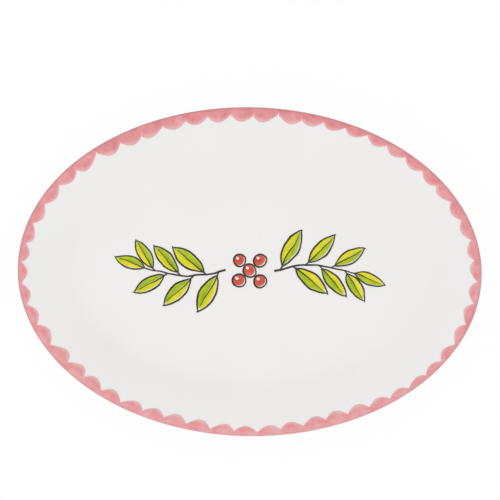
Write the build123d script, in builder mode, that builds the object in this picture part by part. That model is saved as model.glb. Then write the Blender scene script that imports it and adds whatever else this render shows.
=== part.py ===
from build123d import *
from math import atan, cos, pi, radians, sin, tan
import os

# Oval serving plate: a pressed clay body with its foot ring, dipped in glaze, with a scalloped
# border brushed along the lip and a leaf spray with berries printed on the floor.
# Millimetres. +X runs along the plate and +Z is up, from the middle of the foot on the table.

# The plate over its paint
PLATE_LENGTH = 355.0
PLATE_WIDTH = 255.0
PLATE_HEIGHT = 27.0

# Clay body: one thickness of clay, bent up from the floor into the wall
CLAY = 5.0
WALL_RUN = 42.0
BEND_RADIUS = 36.0

# Foot ring under the edge of the floor, its face ground flat after firing
FOOT_HEIGHT = 4.0
FOOT_WIDTH = 6.0
FOOT_INSET = 4.0
FOOT_BLEND = 2.0
FOOT_ROUND = 1.2
FOOT_GRIND = 0.4
FLOOR_LAP = 8.0

# Thickness of the glaze and of the colours fired onto it
GLAZE = 0.5
PAINT = 0.25
PRINT = 0.25
BARE_FOOT = 1.6

# Brushed border, in plan from the edge of the lip
LIP_LINE = 3.0
LIP_WRAP = 4.6
NOTCH_DEPTH = 4.9
SCALLOP_DEPTH = 9.1
SCALLOP_PITCH = 17.9
STROKE_GAP = 0.3

# The painter's hand wanders along the lip and in depth, each way as (times round, size, start angle)
SPACING_WAVES = (
    (0, 3.7, 0.0),
    (1, 6.7, 137.0),
    (2, 1.7, 60.0),
    (3, 1.1, -108.0),
    (5, 1.0, -57.0),
    (6, 0.6, 144.0),
    (7, 0.6, -20.0),
)
DEPTH_WAVES = (
    (1, 1.3, -122.0),
    (2, 0.5, 179.0),
    (3, 0.6, 4.0),
    (4, 0.6, -107.0),
    (5, 0.8, -22.0),
    (7, 0.3, 81.0),
    (8, 0.6, 117.0),
    (9, 0.4, -108.0),
)

# Printed spray: two leafy stems either side of a cluster of berries, sized from the flat of the floor
PRINT_SHARE = 0.83
BERRY_SHARE = 0.085
SAG_SHARE = 0.047
INK_LINE = 0.9
LEAF_STATIONS = 3
LEAF_ANGLE = 44.0
LEAF_ASPECT = 2.7
LEAF_TAPER = 0.25
LEAF_GAP = 1.6
LEAF_STALK = 3.0
STEM_GAP = 2.0
BERRY_GAP = 0.6
BERRIES_AROUND = 4

# The middle of the clay runs level under the floor, bends, and climbs to the centre of the lip
LIP_ROUND = CLAY / 2 + GLAZE + PAINT
LIP_X = PLATE_LENGTH / 2 - LIP_ROUND
LIP_Z = PLATE_HEIGHT - LIP_ROUND
CORNER_X = PLATE_LENGTH / 2 - WALL_RUN
CORNER_Y = PLATE_WIDTH / 2 - WALL_RUN
MIDDLE_Z = FOOT_HEIGHT + CLAY / 2
WALL_RISE = (LIP_Z - MIDDLE_Z) / (LIP_X - CORNER_X)
BEND_RUN = BEND_RADIUS * tan(atan(WALL_RISE) / 2)

# The section runs a lap past the foot ring, and the flat floor slab ends in the middle of that lap
SLAB_INSET = FOOT_INSET + FOOT_WIDTH + FOOT_BLEND + FLOOR_LAP / 2
SLAB_X = CORNER_X - SLAB_INSET
SLAB_Y = CORNER_Y - SLAB_INSET
SECTION_X = SLAB_X - FLOOR_LAP / 2
FOOT_X = CORNER_X - FOOT_INSET - FOOT_WIDTH / 2
CLAY_FLOOR = FOOT_HEIGHT + CLAY
GLAZE_FLOOR = CLAY_FLOOR + GLAZE

# The edge of the lip is an ellipse, and every section is swept round it
with BuildLine() as lip_edge:
    EllipticalCenterArc((0, 0), PLATE_LENGTH / 2, PLATE_WIDTH / 2, start_angle=0, arc_size=360)
LIP_EDGE = lip_edge.wire()


def wall_section(skin):
    """Edge of the floor, bend, wall and rounded lip, grown by a skin on each side of the clay."""
    with BuildSketch(Plane.XZ) as section:
        with BuildLine() as middle:
            FilletPolyline((SECTION_X, MIDDLE_Z), (CORNER_X, MIDDLE_Z), (LIP_X, LIP_Z), radius=[BEND_RADIUS])
        trace(middle.line, CLAY + 2 * skin)
        with Locations((LIP_X, LIP_Z)):
            Circle(CLAY / 2 + skin)
    return section.sketch_local


def plate_section(skin, foot_bottom):
    """The wall's section with the foot ring under it, blended into the underside."""
    foot_side = FOOT_WIDTH / 2 + skin
    with BuildSketch(Plane.XZ) as section:
        add(wall_section(skin))
        with Locations((FOOT_X, foot_bottom)):
            Rectangle(2 * foot_side, MIDDLE_Z - foot_bottom, align=(Align.CENTER, Align.MIN))
        on_sides = section.vertices().filter_by(lambda v: abs(abs(v.X - FOOT_X) - foot_side) < FOOT_GRIND)
        fillet(on_sides.filter_by(lambda v: v.Y > BARE_FOOT + GLAZE), FOOT_BLEND - skin)
    return section.sketch_local


def glaze_sections():
    """The coat between the clay and the finished surface, cut in two by the bare foot."""
    with BuildSketch(Plane.XZ) as coat:
        add(plate_section(GLAZE, BARE_FOOT))
        add(plate_section(0, -FOOT_GRIND), mode=Mode.SUBTRACT)
    return coat.sketch_local.faces().sort_by(Axis.X)


def paint_section():
    """A film of paint over the glazed wall and lip."""
    with BuildSketch(Plane.XZ) as film:
        add(wall_section(GLAZE + PAINT))
        add(wall_section(GLAZE), mode=Mode.SUBTRACT)
    return film.sketch_local


UNDERSIDE_SECTION, UPPER_SECTION = glaze_sections()

# Clay body: floor, wall and foot ring pressed in one, the foot then ground to a level face
with BuildPart() as clay_body:
    with BuildSketch(Plane.XZ) as clay_section:
        add(plate_section(0, -FOOT_GRIND))
        fillet(clay_section.vertices().group_by(Axis.Y)[0], FOOT_ROUND)
    sweep(path=LIP_EDGE)
    with BuildSketch(Plane.XY.offset(FOOT_HEIGHT)):
        Ellipse(SLAB_X, SLAB_Y)
    extrude(amount=CLAY)
    split(bisect_by=Plane.XY)
clay_body.part.label = "clay_body"

# Glaze over the floor, the wall and the lip, and down the outside to the bare foot
with BuildPart() as upper_glaze:
    with BuildSketch(Plane.XZ):
        add(UPPER_SECTION)
    sweep(path=LIP_EDGE)
    with BuildSketch(Plane.XY.offset(CLAY_FLOOR)):
        Ellipse(SLAB_X, SLAB_Y)
    extrude(amount=GLAZE)
upper_glaze.part.label = "upper_glaze"

# Glaze under the floor, inside the foot ring
with BuildPart() as underside_glaze:
    with BuildSketch(Plane.XZ):
        add(UNDERSIDE_SECTION)
    sweep(path=LIP_EDGE)
    with BuildSketch(Plane.XY.offset(FOOT_HEIGHT - GLAZE)):
        Ellipse(SLAB_X, SLAB_Y)
    extrude(amount=GLAZE)
underside_glaze.part.label = "underside_glaze"

# Line of colour drawn round the lip, from the top of the wall to the outside
with BuildPart() as lip_line:
    with BuildSketch(Plane.XZ):
        add(paint_section())
        with Locations((PLATE_LENGTH / 2, PLATE_HEIGHT)):
            Rectangle(LIP_LINE, LIP_WRAP, align=Align.MAX, mode=Mode.INTERSECT)
    sweep(path=LIP_EDGE)
lip_line.part.label = "lip_line"


def lip_place(along, inward):
    """A place a share of the way along the lip, from its right end, with its X along the lip."""
    tangent = LIP_EDGE % (along % 1.0)
    point = LIP_EDGE @ (along % 1.0) + tangent.rotate(Axis.Z, 90) * inward
    return Plane(point, x_dir=tangent).location


def wander(waves, along):
    """How far the painter's hand is off, a share of the way round."""
    return sum(size * cos(2 * pi * times * along + radians(start)) for times, size, start in waves)


# Scallops: round brush strokes side by side, each a little off its neighbours
SAGITTA = SCALLOP_DEPTH - NOTCH_DEPTH
STROKE_RADIUS = (SAGITTA**2 + (SCALLOP_PITCH / 2) ** 2) / (2 * SAGITTA)
STROKES = round(LIP_EDGE.length / SCALLOP_PITCH)
STROKE_SPOTS = [
    stroke / STROKES + wander(SPACING_WAVES, stroke / STROKES) / LIP_EDGE.length for stroke in range(STROKES)
]
STROKE_DEPTHS = [SCALLOP_DEPTH + wander(DEPTH_WAVES, spot) for spot in STROKE_SPOTS]
STROKE_CENTRES = [
    lip_place(spot, depth - STROKE_RADIUS) for spot, depth in zip(STROKE_SPOTS, STROKE_DEPTHS)
]
STROKE_SEAMS = [
    Plane((one.position + other.position) / 2, x_dir=other.position - one.position).location
    for one, other in zip(STROKE_CENTRES, STROKE_CENTRES[1:] + STROKE_CENTRES[:1])
]

with BuildPart() as rim_scallops:
    with BuildSketch(Plane.XY):
        with Locations(*STROKE_CENTRES):
            Circle(STROKE_RADIUS)
        with Locations(*STROKE_SEAMS):
            Rectangle(STROKE_GAP, 2 * STROKE_RADIUS, mode=Mode.SUBTRACT)
    extrude(amount=PLATE_HEIGHT)
    with BuildSketch(Plane.XZ):
        add(paint_section())
        inner_x = LIP_X - 2 * SCALLOP_DEPTH
        outer_x = PLATE_LENGTH / 2 - LIP_LINE
        Polygon(
            (inner_x, LIP_Z - (LIP_X - inner_x) * WALL_RISE),
            (outer_x, LIP_Z - (LIP_X - outer_x) * WALL_RISE),
            (outer_x, PLATE_HEIGHT),
            (inner_x, PLATE_HEIGHT),
            align=None,
            mode=Mode.INTERSECT,
        )
    sweep(path=LIP_EDGE, mode=Mode.INTERSECT)
rim_scallops.part.label = "rim_scallops"

# The spray fills a share of the flat of the floor, and the pitch of its leaves follows
SPRAY_REACH = PRINT_SHARE * (CORNER_X - BEND_RUN)
BERRY = BERRY_SHARE * SPRAY_REACH
CLUSTER_RADIUS = BERRY + 2 * INK_LINE + BERRY_GAP
STEM_START = CLUSTER_RADIUS + BERRY / 2 + INK_LINE + STEM_GAP
LEAF_LEAN = sin(radians(LEAF_ANGLE))
TIP_ASPECT = (1 - LEAF_TAPER) * LEAF_ASPECT
LEAF_PITCH = (SPRAY_REACH - STEM_START - LEAF_STALK + TIP_ASPECT * LEAF_GAP) / (
    LEAF_STATIONS + TIP_ASPECT * LEAF_LEAN
)
LEAF_LENGTH = LEAF_ASPECT * (LEAF_PITCH * LEAF_LEAN - LEAF_GAP)
STEM_END = STEM_START + LEAF_STATIONS * LEAF_PITCH

with BuildLine() as stem:
    SagittaArc((STEM_START, 0), (STEM_END, 0), SAG_SHARE * SPRAY_REACH)


def leaf_place(share, turn):
    """Base of a leaf, a stalk's length off the stem, turned from the stem's own heading."""
    heading = (stem.wire() % share).rotate(Axis.Z, turn)
    return Plane(stem.wire() @ share + heading * LEAF_STALK, x_dir=heading).location


SHARES_LEFT = [(station + 0.25) / LEAF_STATIONS for station in range(LEAF_STATIONS)]
SHARES_RIGHT = [(station + 0.75) / LEAF_STATIONS for station in range(LEAF_STATIONS)]
LEAVES = [(leaf_place(share, LEAF_ANGLE), LEAF_LENGTH * (1 - LEAF_TAPER * share)) for share in SHARES_LEFT]
LEAVES += [(leaf_place(share, -LEAF_ANGLE), LEAF_LENGTH * (1 - LEAF_TAPER * share)) for share in SHARES_RIGHT]
LEAVES += [(leaf_place(1, 0), LEAF_LENGTH * (1 - LEAF_TAPER))]
HALF_TURN = Location((0, 0, 0), (0, 0, 180))


def leaf_blade(length, inset):
    """A pointed leaf between two arcs, from its base at the origin along X."""
    half_width = length / LEAF_ASPECT / 2
    with BuildSketch() as blade:
        with BuildLine():
            ThreePointArc((0, 0), (length / 2, half_width), (length, 0))
            ThreePointArc((length, 0), (length / 2, -half_width), (0, 0))
        make_face()
        if inset > 0:
            offset(amount=-inset)
    return blade.sketch_local


def leaf_wash(length, side):
    """The colour inside a leaf's outline, on one side of its midrib."""
    with BuildSketch() as wash:
        add(leaf_blade(length, INK_LINE))
        with Locations((length / 2, side * (INK_LINE + length) / 2)):
            Rectangle(length, length, mode=Mode.INTERSECT)
    return wash.sketch_local


def leaf_lines(length):
    """A leaf's inked outline, midrib and stalk."""
    with BuildSketch() as lines:
        add(leaf_blade(length, 0))
        add(leaf_blade(length, INK_LINE), mode=Mode.SUBTRACT)
        with Locations((-LEAF_STALK, 0)):
            Rectangle(length + LEAF_STALK - INK_LINE, INK_LINE, align=(Align.MIN, Align.CENTER))
    return lines.sketch_local


# Each colour of the print is one pass of ink: lime on the left of every leaf
with BuildPart() as lime_ink:
    with BuildSketch(Plane.XY.offset(GLAZE_FLOOR)):
        for place, length in LEAVES:
            with Locations(place, HALF_TURN * place):
                add(leaf_wash(length, 1))
    extrude(amount=PRINT)
lime_ink.part.label = "lime_ink"

# Green on the right of every leaf
with BuildPart() as green_ink:
    with BuildSketch(Plane.XY.offset(GLAZE_FLOOR)):
        for place, length in LEAVES:
            with Locations(place, HALF_TURN * place):
                add(leaf_wash(length, -1))
    extrude(amount=PRINT)
green_ink.part.label = "green_ink"

# Red for the berries
with BuildPart() as red_ink:
    with BuildSketch(Plane.XY.offset(GLAZE_FLOOR)):
        Circle(BERRY / 2)
        with PolarLocations(CLUSTER_RADIUS, BERRIES_AROUND, start_angle=180 / BERRIES_AROUND):
            Circle(BERRY / 2)
    extrude(amount=PRINT)
red_ink.part.label = "red_ink"

# Dark line work over the rest: stems, leaf outlines and midribs, and a ring round each berry
with BuildPart() as line_ink:
    with BuildSketch(Plane.XY.offset(GLAZE_FLOOR)):
        trace(stem.line, INK_LINE)
        trace(HALF_TURN * stem.line, INK_LINE)
        for place, length in LEAVES:
            with Locations(place, HALF_TURN * place):
                add(leaf_lines(length))
        Circle(BERRY / 2 + INK_LINE)
        with PolarLocations(CLUSTER_RADIUS, BERRIES_AROUND, start_angle=180 / BERRIES_AROUND):
            Circle(BERRY / 2 + INK_LINE)
        Circle(BERRY / 2, mode=Mode.SUBTRACT)
        with PolarLocations(CLUSTER_RADIUS, BERRIES_AROUND, start_angle=180 / BERRIES_AROUND):
            Circle(BERRY / 2, mode=Mode.SUBTRACT)
    extrude(amount=PRINT)
line_ink.part.label = "line_ink"

os.makedirs("parts", exist_ok=True)
for piece in (
    clay_body,
    upper_glaze,
    underside_glaze,
    lip_line,
    rim_scallops,
    lime_ink,
    green_ink,
    red_ink,
    line_ink,
):
    export_step(piece.part, f"parts/{piece.part.label}.step")
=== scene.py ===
import math
import random

import bmesh
import bpy
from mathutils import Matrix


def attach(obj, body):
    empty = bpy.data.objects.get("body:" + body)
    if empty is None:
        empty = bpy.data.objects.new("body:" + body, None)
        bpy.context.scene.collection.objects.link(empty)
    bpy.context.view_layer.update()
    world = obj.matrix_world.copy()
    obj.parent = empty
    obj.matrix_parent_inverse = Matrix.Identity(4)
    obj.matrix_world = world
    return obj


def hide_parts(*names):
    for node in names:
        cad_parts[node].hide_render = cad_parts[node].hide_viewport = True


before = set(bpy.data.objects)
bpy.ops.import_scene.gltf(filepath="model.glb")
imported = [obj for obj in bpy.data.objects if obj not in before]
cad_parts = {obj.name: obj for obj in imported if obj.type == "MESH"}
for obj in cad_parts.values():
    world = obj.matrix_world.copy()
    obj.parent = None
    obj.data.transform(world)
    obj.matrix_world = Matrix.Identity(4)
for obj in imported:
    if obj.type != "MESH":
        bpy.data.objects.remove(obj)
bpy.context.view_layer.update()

# Clay body
# The plate is one pressing of white earthenware: floor, wall, rounded lip and foot ring in one thickness.
# It is fired once bare, glazed and fired again, and the foot is ground level, so only there the clay shows.
# Sizes are written in millimetres, and MM turns them to metres.
MM = 0.001
CLAY_GRAIN = 0.7
GRINDING_STAIN = 14.0


def linear(code):
    """An sRGB hex colour as linear RGBA."""
    channels = [int(code[i : i + 2], 16) / 255 for i in (0, 2, 4)]
    return [c / 12.92 if c <= 0.04045 else ((c + 0.055) / 1.055) ** 2.4 for c in channels] + [1.0]


def add_node(tree, kind, inputs=None, **settings):
    """Adds a node with settings. Inputs take a value, or a link from a socket or a node's first output."""
    node = tree.nodes.new(kind)
    for name, value in settings.items():
        setattr(node, name, value)
    for name, value in (inputs or {}).items():
        if isinstance(value, bpy.types.Node):
            value = next(socket for socket in value.outputs if socket.enabled)
        if isinstance(value, bpy.types.NodeSocket):
            tree.links.new(value, node.inputs[name])
        else:
            node.inputs[name].default_value = value
    return node


def new_finish(name):
    """A material with its node tree and its shader."""
    material = bpy.data.materials.new(name)
    material.use_nodes = True
    return material, material.node_tree, material.node_tree.nodes["Principled BSDF"]


# Ground biscuit earthenware: chalky, warm white and matt, with a fine grain and faint grey from the grinding.
biscuit, tree, shader = new_finish("ground_biscuit_earthenware")
spot = add_node(tree, "ShaderNodeTexCoord").outputs["Object"]
grain = add_node(tree, "ShaderNodeTexNoise", {"Vector": spot, "Scale": 1 / (CLAY_GRAIN * MM), "Detail": 4.0})
stain = add_node(
    tree, "ShaderNodeTexNoise", {"Vector": spot, "Scale": 1 / (GRINDING_STAIN * MM), "Detail": 3.0}
)
clay_tone = add_node(
    tree, "ShaderNodeMix", {"Factor": stain, "A": linear("efe7da"), "B": linear("d9cdbb")}, data_type="RGBA"
)
pitted = add_node(tree, "ShaderNodeBump", {"Height": grain, "Strength": 0.5, "Distance": 0.15 * MM})
tree.links.new(clay_tone.outputs["Result"], shader.inputs["Base Color"])
tree.links.new(pitted.outputs["Normal"], shader.inputs["Normal"])
shader.inputs["Roughness"].default_value = 0.85
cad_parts["clay_body"].data.materials.clear()
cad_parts["clay_body"].data.materials.append(biscuit)

# Glaze
# A coat of glossy white glaze over the clay, poured over the top and the outside and brushed under the floor.
# It is wiped off the foot before firing, so it ends in a rounded bead on both sides of the bare foot.
# In a section, a point is its distance from the edge of the lip, below 0 inside it, and its height.
LIP_OVAL = (177.49, 127.48)
LIP_CENTRE = (-3.25, 23.75)
CORNER = -42.0
FLOOR_START = -54.0
MIDDLE_Z = 6.5
SLOPE = math.degrees(math.atan2(LIP_CENTRE[1] - MIDDLE_Z, LIP_CENTRE[0] - CORNER))
BEND = 36.0
BEND_CENTRE = (CORNER - BEND * math.tan(math.radians(SLOPE / 2)), MIDDLE_Z + BEND)
CLAY_HALF = 2.5
GLAZED_HALF = 3.0
GLAZE = GLAZED_HALF - CLAY_HALF
FOOT_SIDES = (-52.0, -46.0)
FOOT_BLEND = 2.0
BARE_FOOT = 1.6
STEPS_ROUND = 480
BEND_STEPS, LIP_STEPS, BACK_STEPS, BLEND_STEPS, BEAD_STEPS = 8, 14, 6, 4, 6
SEAM = 0.002
SHARP_EDGE = 40.0
GLAZE_CLOUD = 38.0
GLAZE_RIPPLE = 24.0
SPECK_SPACING = 19.0
SPECK_EDGES = (0.014, 0.03)
SPECK_STRENGTH = 0.35


def arc(centre, radius, start, end, steps):
    """Points along an arc in a section, with its angles in degrees."""
    angles = [math.radians(start + (end - start) * i / steps) for i in range(steps + 1)]
    return [(centre[0] + radius * math.cos(a), centre[1] + radius * math.sin(a)) for a in angles]


def wall_line(half, fine):
    """One face in section: floor, bend, slope, round the lip, back under and down into the foot's blend."""
    blend = FOOT_BLEND + CLAY_HALF - half
    blend_x = FOOT_SIDES[1] + FOOT_BLEND
    reach = BEND + half + blend
    blend_z = BEND_CENTRE[1] - math.sqrt(reach**2 - (blend_x - BEND_CENTRE[0]) ** 2)
    turn = math.degrees(math.atan2(blend_z - BEND_CENTRE[1], blend_x - BEND_CENTRE[0]))
    points = [(FLOOR_START, MIDDLE_Z + half)]
    points += arc(BEND_CENTRE, BEND - half, -90, SLOPE - 90, BEND_STEPS * fine)
    points += arc(LIP_CENTRE, half, SLOPE + 90, SLOPE - 90, LIP_STEPS * fine)
    points += arc(BEND_CENTRE, BEND + half, SLOPE - 90, turn, BACK_STEPS * fine)
    points += arc((blend_x, blend_z), blend, turn + 180, 180, BLEND_STEPS * fine)
    return points


def new_tree(name, sizes, counts=(), choices=()):
    """A node tree with inputs for its sizes, counts, choices and finish, and what these inputs give."""
    tree = bpy.data.node_groups.new(name, "GeometryNodeTree")
    tree.is_modifier = True
    inputs = {"Geometry": ["Geometry"], "Float": sizes, "Int": counts, "Bool": choices}
    for kind, sockets in (inputs | {"Material": ["Finish"]}).items():
        for socket in sockets:
            tree.interface.new_socket(socket, in_out="INPUT", socket_type="NodeSocket" + kind)
    tree.interface.new_socket("Geometry", in_out="OUTPUT", socket_type="NodeSocketGeometry")
    return tree, add_node(tree, "NodeGroupInput").outputs


def end_tree(tree, geometry, finish):
    """Ends a node tree: its instances become real, take their finish and are put out."""
    real = add_node(tree, "GeometryNodeRealizeInstances", {"Geometry": geometry})
    finished = add_node(tree, "GeometryNodeSetMaterial", {"Geometry": real, "Material": finish})
    add_node(tree, "NodeGroupOutput", {"Geometry": finished})
    return tree


def lip_oval(tree, given):
    """The oval of the lip as a curve in a node tree, with its normals level."""
    circle = add_node(
        tree, "GeometryNodeCurvePrimitiveCircle", {"Resolution": given["Steps Round"], "Radius": 1.0}
    )
    size = add_node(
        tree, "ShaderNodeCombineXYZ", {"X": given["Half Length"], "Y": given["Half Width"], "Z": 1.0}
    )
    oval = add_node(tree, "GeometryNodeTransform", {"Geometry": circle, "Scale": size})
    return add_node(tree, "GeometryNodeSetCurveNormal", {"Curve": oval}, mode="Z_UP")


def round_the_plate():
    """Node tree that takes a section round the oval of the lip, and closes it over the floor."""
    tree, given = new_tree(
        "round_the_plate",
        ("Half Length", "Half Width", "Floor Start", "Floor Top", "Floor Under"),
        counts=["Steps Round"],
        choices=["Has Floor"],
    )
    section = add_node(tree, "GeometryNodeMeshToCurve", {"Mesh": given["Geometry"]})
    laid_flat = add_node(
        tree, "GeometryNodeTransform", {"Geometry": section, "Rotation": (math.radians(90), 0, 0)}
    )
    lip_curve = lip_oval(tree, given)
    wall = add_node(tree, "GeometryNodeCurveToMesh", {"Curve": lip_curve, "Profile Curve": laid_flat})
    inwards = add_node(
        tree,
        "ShaderNodeVectorMath",
        {0: add_node(tree, "GeometryNodeInputNormal").outputs["Normal"], "Scale": given["Floor Start"]},
        operation="SCALE",
    )
    floor_edge = add_node(tree, "GeometryNodeSetPosition", {"Geometry": lip_curve, "Offset": inwards})
    floor = add_node(tree, "GeometryNodeFillCurve", {"Curve": floor_edge}, mode="NGONS")
    both = add_node(tree, "GeometryNodeJoinGeometry", {"Geometry": wall})
    for level in ("Floor Top", "Floor Under"):
        height = add_node(tree, "ShaderNodeCombineXYZ", {"Z": given[level]})
        lifted = add_node(tree, "GeometryNodeTransform", {"Geometry": floor, "Translation": height})
        tree.links.new(lifted.outputs["Geometry"], both.inputs["Geometry"])
    chosen = add_node(
        tree,
        "GeometryNodeSwitch",
        {"Switch": given["Has Floor"], "False": wall, "True": both},
        input_type="GEOMETRY",
    )
    sewn = add_node(tree, "GeometryNodeMergeByDistance", {"Geometry": chosen, "Distance": SEAM * MM})
    return end_tree(tree, sewn, given["Finish"])


def make_piece(name, mesh, tree, sizes):
    """Runs a node tree on a mesh with the given inputs, and keeps the result as a plain closed mesh."""
    piece = bpy.data.objects.new(name, mesh)
    bpy.context.scene.collection.objects.link(piece)
    modifier = piece.modifiers.new(tree.name, "NODES")
    modifier.node_group = tree
    for socket in tree.interface.items_tree:
        if socket.in_out == "INPUT" and socket.name in sizes:
            modifier[socket.identifier] = sizes[socket.name]
    depsgraph = bpy.context.evaluated_depsgraph_get()
    made = bpy.data.meshes.new_from_object(
        piece.evaluated_get(depsgraph), preserve_all_data_layers=True, depsgraph=depsgraph
    )
    piece.modifiers.clear()
    piece.data = made
    made.name = name
    shell = bmesh.new()
    shell.from_mesh(made)
    bmesh.ops.recalc_face_normals(shell, faces=shell.faces)
    shell.to_mesh(made)
    shell.free()
    made.shade_smooth()
    made.set_sharp_from_angle(angle=math.radians(SHARP_EDGE))
    return piece


def section_mesh(name, points, closed):
    """A section in millimetres, across from the edge of the lip and up, as a line of edges in metres."""
    edges = [(i, i + 1) for i in range(len(points) - 1)]
    if closed:
        edges.append((len(points) - 1, 0))
    mesh = bpy.data.meshes.new(name)
    mesh.from_pydata([(u * MM, 0, z * MM) for u, z in points], edges, [])
    return mesh


# Glossy white earthenware glaze: a warm white, mirror smooth with a slow ripple, a faint cloudiness where the
# coat runs thick and thin, and a few pin-size specks from the clay.
glaze, tree, shader = new_finish("glossy_white_glaze")
spot = add_node(tree, "ShaderNodeTexCoord").outputs["Object"]
cloud = add_node(tree, "ShaderNodeTexNoise", {"Vector": spot, "Scale": 1 / (GLAZE_CLOUD * MM), "Detail": 3.0})
milk = add_node(
    tree, "ShaderNodeMix", {"Factor": cloud, "A": linear("ecebe9"), "B": linear("f0efed")}, data_type="RGBA"
)
speck_cells = add_node(
    tree, "ShaderNodeTexVoronoi", {"Vector": spot, "Scale": 1 / (SPECK_SPACING * MM), "Randomness": 1.0}
)
speck_mask = add_node(
    tree,
    "ShaderNodeMapRange",
    {
        "Value": speck_cells,
        "From Min": SPECK_EDGES[0],
        "From Max": SPECK_EDGES[1],
        "To Min": SPECK_STRENGTH,
        "To Max": 0.0,
    },
)
flecked = add_node(
    tree, "ShaderNodeMix", {"Factor": speck_mask, "A": milk, "B": linear("b9ae9f")}, data_type="RGBA"
)
ripple = add_node(
    tree, "ShaderNodeTexNoise", {"Vector": spot, "Scale": 1 / (GLAZE_RIPPLE * MM), "Detail": 1.0}
)
rippled = add_node(tree, "ShaderNodeBump", {"Height": ripple, "Strength": 0.35, "Distance": 0.25 * MM})
tree.links.new(flecked.outputs["Result"], shader.inputs["Base Color"])
tree.links.new(rippled.outputs["Normal"], shader.inputs["Normal"])
shader.inputs["Roughness"].default_value = 0.12
shader.inputs["IOR"].default_value = 1.52

sweep_tree = round_the_plate()
oval_sizes = {
    "Half Length": LIP_OVAL[0] * MM,
    "Half Width": LIP_OVAL[1] * MM,
    "Floor Start": FLOOR_START * MM,
    "Steps Round": STEPS_ROUND,
}

outside = wall_line(GLAZED_HALF, fine=2)
bead = arc((FOOT_SIDES[1] + GLAZE / 2, BARE_FOOT + GLAZE / 2), GLAZE / 2, 0, -180, BEAD_STEPS)
coat = outside + bead + wall_line(CLAY_HALF, fine=1)[::-1]
upper_glaze = make_piece(
    "upper_glaze_coat",
    section_mesh("upper_glaze_section", coat, closed=False),
    sweep_tree,
    oval_sizes
    | {
        "Floor Top": (MIDDLE_Z + GLAZED_HALF) * MM,
        "Floor Under": (MIDDLE_Z + CLAY_HALF) * MM,
        "Has Floor": True,
        "Finish": glaze,
    },
)
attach(upper_glaze, "root")
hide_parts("upper_glaze")

under_blend = (FOOT_SIDES[0] - FOOT_BLEND, MIDDLE_Z - CLAY_HALF - FOOT_BLEND)
coat = arc(under_blend, FOOT_BLEND - GLAZE, 90, 0, 2 * BLEND_STEPS)
coat += arc((FOOT_SIDES[0] - GLAZE / 2, BARE_FOOT + GLAZE / 2), GLAZE / 2, -180, 0, BEAD_STEPS)
coat += arc(under_blend, FOOT_BLEND, 0, 90, 2 * BLEND_STEPS)
underside_glaze = make_piece(
    "underside_glaze_coat",
    section_mesh("underside_glaze_section", coat, closed=False),
    sweep_tree,
    oval_sizes
    | {
        "Floor Top": (MIDDLE_Z - CLAY_HALF) * MM,
        "Floor Under": (MIDDLE_Z - GLAZED_HALF) * MM,
        "Has Floor": True,
        "Finish": glaze,
    },
)
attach(underside_glaze, "root")
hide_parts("underside_glaze")

# Line round the lip
# Pink ceramic colour, drawn with a loaded brush over the rounded lip while the plate turns, and fired on.
# It starts on top of the lip, where the scallops join it, and wraps over to the outside.
PAINT = 0.25
LIP_LINE = 2.3
LIP_WRAP = 4.6
PAINTED_HALF = GLAZED_HALF + PAINT
LINE_STEPS = 24
LIP_SHADE_TURNS = (70.0, 40.0)
PINK_CLOUD = 9.0
BRUSH_HAIRS = (8.0, 1.2, 0.0)
HAIR_CHANGE = 25.0
STREAKS = 0.45
THIN_FROM = 0.6
THINNED = 0.38
FAR_SIDE = (0.0, 5.4, 0.0)
FAR_EDGE = 0.69
FAR_DEEPENING = 0.18
END_DEEPENING = (-0.14, 0.05)
LIP_SHADE_RANGE = (0.22, 0.86)

# Pink ceramic colour: brushed and fired on, so it is glossy, cloudy where the coat is thick and thin, faintly
# streaked along each stroke and thin at the strokes' ends. It is deeper on the far side, and on the near side
# it deepens towards the strokes' ends. Painted shade: along the outer side of the lip it turns a duller,
# darker pink, most on the far side.
pink, tree, shader = new_finish("brushed_pink_ceramic_colour")
spot = add_node(tree, "ShaderNodeTexCoord").outputs["Object"]
lip_shade_input = add_node(tree, "ShaderNodeAttribute", attribute_name="outer_lip_shade")
brush = add_node(tree, "ShaderNodeAttribute", attribute_name="brush").outputs["Vector"]
clouds = add_node(
    tree,
    "ShaderNodeTexNoise",
    {"Vector": spot, "Scale": 1 / (PINK_CLOUD * MM), "Detail": 5.0, "Roughness": 0.62},
)
hairs = add_node(tree, "ShaderNodeVectorMath", {0: brush, 1: BRUSH_HAIRS}, operation="MULTIPLY")
each = add_node(tree, "ShaderNodeVectorMath", {0: spot, "Scale": 1 / (HAIR_CHANGE * MM)}, operation="SCALE")
hairs = add_node(tree, "ShaderNodeVectorMath", {0: hairs, 1: each}, operation="ADD")
streak = add_node(tree, "ShaderNodeTexNoise", {"Vector": hairs, "Scale": 1.0, "Detail": 3.0})
pulled = add_node(tree, "ShaderNodeSeparateXYZ", {"Vector": brush}).outputs["Y"]
thinned = add_node(
    tree,
    "ShaderNodeMapRange",
    {"Value": pulled, "From Min": THIN_FROM, "From Max": 1.0, "To Min": 0.0, "To Max": THINNED},
    interpolation_type="SMOOTHSTEP",
)
# The far side is towards +Y. There the pink is deeper and, as painted shade, the lip's outer side is darker.
far = add_node(tree, "ShaderNodeVectorMath", {0: spot, 1: FAR_SIDE}, operation="DOT_PRODUCT")
far_side_shade = add_node(
    tree,
    "ShaderNodeMapRange",
    {
        "Value": far,
        "From Min": -FAR_EDGE,
        "From Max": FAR_EDGE,
        "To Min": LIP_SHADE_RANGE[0],
        "To Max": LIP_SHADE_RANGE[1],
    },
)
known = {
    "outer_lip_shade": lip_shade_input.outputs["Fac"],
    "clouds": clouds,
    "hairs": streak,
    "pulled": pulled,
    "thinned": thinned,
    "far": far,
    "far_side_shade": far_side_shade,
}
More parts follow.
